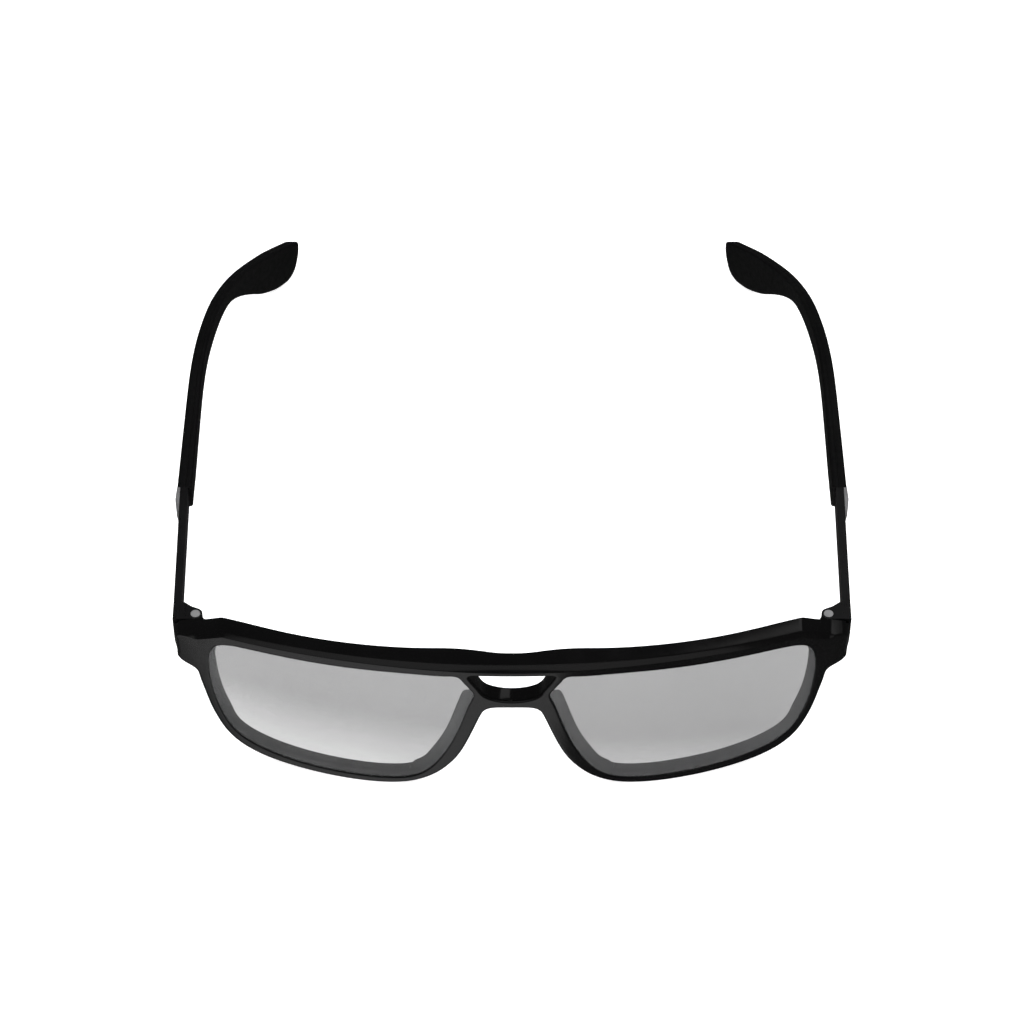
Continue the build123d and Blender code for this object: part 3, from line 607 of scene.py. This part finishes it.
# ======================================================================
# materials
# ======================================================================
def material(name, color, rough, metallic=0.0, ior=1.5, spec=0.5, coat=0.0, coat_rough=0.05):
    m = bpy.data.materials.new(name)
    m.use_nodes = True
    nt = m.node_tree
    b = nt.nodes["Principled BSDF"]
    b.inputs["Base Color"].default_value = (*color, 1)
    b.inputs["Roughness"].default_value = rough
    b.inputs["Metallic"].default_value = metallic
    b.inputs["IOR"].default_value = ior
    b.inputs["Specular IOR Level"].default_value = spec
    b.inputs["Coat Weight"].default_value = coat
    b.inputs["Coat Roughness"].default_value = coat_rough
    return m, nt, b


def coords(nt, scale=(1, 1, 1)):
    tc = nt.nodes.new("ShaderNodeTexCoord")
    mp = nt.nodes.new("ShaderNodeMapping")
    mp.inputs["Scale"].default_value = scale
    nt.links.new(tc.outputs["Object"], mp.inputs["Vector"])
    return mp.outputs["Vector"]


def noise(nt, vec, scale, detail=3.0, rough=0.55):
    n = nt.nodes.new("ShaderNodeTexNoise")
    n.inputs["Scale"].default_value = scale
    n.inputs["Detail"].default_value = detail
    n.inputs["Roughness"].default_value = rough
    nt.links.new(vec, n.inputs["Vector"])
    return n.outputs["Fac"]


def ranged(nt, fac, lo, hi, a=0.3, b=0.7):
    r = nt.nodes.new("ShaderNodeMapRange")
    r.inputs["From Min"].default_value = a
    r.inputs["From Max"].default_value = b
    r.inputs["To Min"].default_value = lo
    r.inputs["To Max"].default_value = hi
    nt.links.new(fac, r.inputs["Value"])
    return r.outputs["Result"]


def tinted(nt, fac, c0, c1):
    r = nt.nodes.new("ShaderNodeValToRGB")
    r.color_ramp.elements[0].position = 0.3
    r.color_ramp.elements[1].position = 0.7
    r.color_ramp.elements[0].color = (*c0, 1)
    r.color_ramp.elements[1].color = (*c1, 1)
    nt.links.new(fac, r.inputs["Fac"])
    return r.outputs["Color"]


def bump(nt, b, height, strength, distance):
    n = nt.nodes.new("ShaderNodeBump")
    n.inputs["Strength"].default_value = strength
    n.inputs["Distance"].default_value = distance
    nt.links.new(height, n.inputs["Height"])
    nt.links.new(n.outputs["Normal"], b.inputs["Normal"])


# polished black moulding: faint flow marks, fine handling haze
gloss, nt, b = material("gloss_black_moulding", (0.002, 0.002, 0.002), 0.10)
c = coords(nt)
nt.links.new(tinted(nt, noise(nt, c, 60, 2), (0.0014, 0.0014, 0.0015), (0.0026, 0.0026, 0.0027)), b.inputs["Base Color"])
nt.links.new(ranged(nt, noise(nt, c, 260, 5, 0.65), 0.08, 0.15), b.inputs["Roughness"])
bump(nt, b, noise(nt, c, 900, 2), 0.05, 0.00004)

# matte, finely textured housing
matte, nt, b = material("matte_black_housing", (0.010, 0.010, 0.011), 0.55)
c = coords(nt)
nt.links.new(tinted(nt, noise(nt, c, 90, 3), (0.0008, 0.0008, 0.0009), (0.0018, 0.0018, 0.0020)), b.inputs["Base Color"])
nt.links.new(ranged(nt, noise(nt, c, 700, 4, 0.7), 0.48, 0.66), b.inputs["Roughness"])
bump(nt, b, noise(nt, c, 5200, 3, 0.7), 0.28, 0.00006)

# satin black lacquer over metal
lacquer, nt, b = material("satin_black_metal", (0.010, 0.010, 0.011), 0.32)
c = coords(nt)
nt.links.new(tinted(nt, noise(nt, c, 120, 3), (0.003, 0.003, 0.0032), (0.005, 0.005, 0.0053)), b.inputs["Base Color"])
nt.links.new(ranged(nt, noise(nt, coords(nt, (1, 0.12, 1)), 1400, 4, 0.6), 0.24, 0.40), b.inputs["Roughness"])
bump(nt, b, noise(nt, c, 2600, 3), 0.12, 0.00003)


def metal(name, c0, c1, r0, r1, scale=(1, 1, 1), freq=2000, share=1.0):
    m, nt, b = material(name, c0, r0, metallic=share)
    c = coords(nt, scale)
    nt.links.new(tinted(nt, noise(nt, coords(nt), 400, 4), c0, c1), b.inputs["Base Color"])
    nt.links.new(ranged(nt, noise(nt, c, freq, 4, 0.6), r0, r1), b.inputs["Roughness"])
    bump(nt, b, noise(nt, c, freq, 3), 0.15, 0.00003)
    return m


bright = metal("brushed_trim_metal", (0.23, 0.23, 0.235), (0.33, 0.33, 0.335), 0.28, 0.42, (1, 1, 0.08), 3000, 0.5)
screw = metal("satin_screw_metal", (0.27, 0.27, 0.275), (0.34, 0.34, 0.345), 0.38, 0.5, (1, 1, 1), 3500, 0.3)
gold = metal("gold_contact_metal", (0.75, 0.52, 0.20), (0.86, 0.64, 0.30), 0.18, 0.32, share=0.7)
mesh_metal = metal("etched_mesh_metal", (0.05, 0.05, 0.055), (0.10, 0.10, 0.11), 0.35, 0.5, (1, 1, 1), 4000, 0.6)
foil = metal("cell_foil_metal", (0.50, 0.50, 0.52), (0.60, 0.60, 0.62), 0.3, 0.5, (1, 1, 1), 900, 0.6)
can = metal("speaker_can_metal", (0.40, 0.40, 0.42), (0.52, 0.52, 0.54), 0.25, 0.42, (1, 1, 1), 1800, 0.6)


def moulded(name, c0, c1, r0, r1, freq=600):
    m, nt, b = material(name, c0, r0)
    c = coords(nt)
    nt.links.new(tinted(nt, noise(nt, c, freq, 3), c0, c1), b.inputs["Base Color"])
    nt.links.new(ranged(nt, noise(nt, c, freq * 3, 3), r0, r1), b.inputs["Roughness"])
    bump(nt, b, noise(nt, c, freq * 5, 2), 0.2, 0.00003)
    return m


board = moulded("board_solder_mask", (0.01, 0.07, 0.035), (0.02, 0.11, 0.06), 0.3, 0.45)
chip = moulded("chip_moulding", (0.015, 0.015, 0.016), (0.03, 0.03, 0.032), 0.4, 0.6)
film = moulded("flex_film", (0.42, 0.20, 0.03), (0.55, 0.28, 0.05), 0.25, 0.4)

# lens: thin, straight-through grey; its alpha falls toward the foot of the wearer's right side,
# painted light standing in for a reflection that lightens that corner
glass, nt, b = material("lens_grey_clear", (0.14, 0.14, 0.142), 0.05, ior=1.5)
glass.surface_render_method = "BLENDED"
c = coords(nt)
nt.links.new(tinted(nt, noise(nt, c, 18, 1), (0.125, 0.126, 0.128), (0.15, 0.15, 0.152)), b.inputs["Base Color"])
nt.links.new(ranged(nt, noise(nt, c, 300, 4), 0.03, 0.07), b.inputs["Roughness"])
# painted reflection: alpha rises with height and toward +x, so the lens reads lighter toward the lower left
split = nt.nodes.new("ShaderNodeSeparateXYZ")
nt.links.new(nt.nodes["Texture Coordinate"].outputs["Object"], split.inputs[0])
low = nt.nodes.new("ShaderNodeMath")
low.operation = "MULTIPLY_ADD"
low.inputs[1].default_value = 0.16
nt.links.new(split.outputs["X"], low.inputs[0])
nt.links.new(split.outputs["Z"], low.inputs[2])
nt.links.new(ranged(nt, low.outputs[0], 0.32, 0.56, -0.001, 0.022), b.inputs["Alpha"])

finish_of = {"gloss_black": gloss, "clear_lens": glass, "dark_metal": lacquer, "bright_metal": bright,
             "screw_metal": screw, "matte_shell": matte, "board": board, "chip": chip, "film": film,
             "speaker_can": can, "mesh_metal": mesh_metal, "cell_foil": foil, "gold": gold}
slot_of = {s["node"]: s["material_slot"] for s in frame["record"]["subparts"]}


def paint(o, m):
    o.data.materials.clear()
    o.data.materials.append(m)


for name, o in frame["nodes"].items():
    m = finish_of[slot_of[name]]
    if len(o.material_slots):
        for sl in o.material_slots:
            sl.material = m
    else:
        o.data.materials.append(m)

# crisp small edges on the carried-over metal parts
for name, o in frame["nodes"].items():
    if name.startswith(("temple_arm", "temple_trim", "hinge_leaf", "hinge_screw", "leaf_screws", "charging_contacts")):
        wd = o.modifiers.new("weld", "WELD")
        wd.merge_threshold = 2e-6
        bv = o.modifiers.new("edge", "BEVEL")
        bv.limit_method = "ANGLE"
        bv.angle_limit = math.radians(32)
        bv.width = 0.00016 if name.startswith("temple_arm") else 0.00006
        bv.segments = 3
        bv.harden_normals = True

# ======================================================================
# bodies
# ======================================================================
def place(o, body, slot_name, *nodes):
    paint(o, finish_of[slot_name])
    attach(o, body)
    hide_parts(*nodes)


place(frame_piece, "front", "gloss_black", "front_frame")
for o, s in zip(lens_pieces, ("right", "left")):
    place(o, "front", "clear_lens", f"lens_{s}")
for o, s in zip(pad_pieces, ("right", "left")):
    place(o, "front", "gloss_black", f"nose_pad_{s}")
for s in ("right", "left"):
    place(shells[f"outer_{s}"], f"temple_{s}", "matte_shell", f"outer_shell_{s}")
    place(shells[f"inner_{s}"], f"temple_{s}", "matte_shell", f"inner_shell_{s}")

# ======================================================================
# stage, light, camera
# ======================================================================
def stage_mesh(name, verts, faces, color, glow):
    me = bpy.data.meshes.new(name)
    me.from_pydata(verts, [], faces)
    me.update()
    o = bpy.data.objects.new(name, me)
    bpy.context.scene.collection.objects.link(o)
    m, nt, b = material(name + "_paint", color, 0.9, spec=0.0)
    b.inputs["Emission Color"].default_value = (1, 1, 1, 1)
    b.inputs["Emission Strength"].default_value = glow
    o.data.materials.append(m)
    o.visible_glossy = False
    o.visible_shadow = False
    return o


floor = stage_mesh("floor", [(-4, -4, 0), (4, -4, 0), (4, 4, 0), (-4, 4, 0)], [(0, 1, 2, 3)], (0.86, 0.86, 0.86), 0.8)
ring = [(3.9 * math.cos(k * math.pi / 24), 3.9 * math.sin(k * math.pi / 24)) for k in range(48)]
wall = stage_mesh("wall", [(a, b, -0.01) for a, b in ring] + [(a, b, 3.6) for a, b in ring],
                  [(k, (k + 1) % 48, 48 + (k + 1) % 48, 48 + k) for k in range(48)], (0.8, 0.8, 0.8), 1.1)
wall.visible_diffuse = False

world = bpy.data.worlds.new("studio")
bpy.context.scene.world = world
world.use_nodes = True
world.node_tree.nodes["Background"].inputs["Color"].default_value = (1, 1, 1, 1)
world.node_tree.nodes["Background"].inputs["Strength"].default_value = 0.05


def area(name, at, to, size, power, size_y=None, gloss=True, soft=True):
    """An area light; gloss: seen in reflections, soft: lights surfaces."""
    d = bpy.data.lights.new(name, "AREA")
    d.energy = power
    d.size = size
    if size_y:
        d.shape = "RECTANGLE"
        d.size_y = size_y
    o = bpy.data.objects.new(name, d)
    bpy.context.scene.collection.objects.link(o)
    o.location = at
    o.rotation_euler = (Vector(to) - Vector(at)).to_track_quat("-Z", "Y").to_euler()
    o.visible_camera = False
    o.visible_glossy = gloss
    o.visible_diffuse = soft
    o.visible_transmission = False
    return o


area("sky", (0, 0, 2.4), (0, 0, 0), 4.0, 110, gloss=False)
area("front_soft", (0, -1.6, 1.1), (0, -0.05, 0.03), 0.9, 5, gloss=False)
# broad panels that only show as sheen on the polished parts
area("low_left_panel", (-0.415, -0.72, -0.8), (-0.415, -0.72, 0), 0.97, 0.74, 0.60, soft=False)
area("front_panel", (-0.1, -1.5, 0.85), (-0.1, 0, 0.85), 1.6, 1.9, 1.3, soft=False)
area("rear_right_panel", (0.71, 1.6, 2.3), (0.71, 1.6, 0), 1.0, 1.9, 1.2, soft=False)
area("top_spot", (0.06, -0.2, 2.0), (0, -0.07, 0), 0.22, 0.35, soft=False)

cam_data = bpy.data.cameras.new("camera")
cam_data.lens = 134.18
cam_data.sensor_width = 36.0
cam_data.clip_start = 0.01
cam = bpy.data.objects.new("camera", cam_data)
bpy.context.scene.collection.objects.link(cam)
cam.location = (0, -0.52750, 0.70989)
cam.rotation_euler = (math.radians(36.69), 0, 0)
bpy.context.scene.camera = cam
bpy.context.scene.view_settings.view_transform = "Standard"
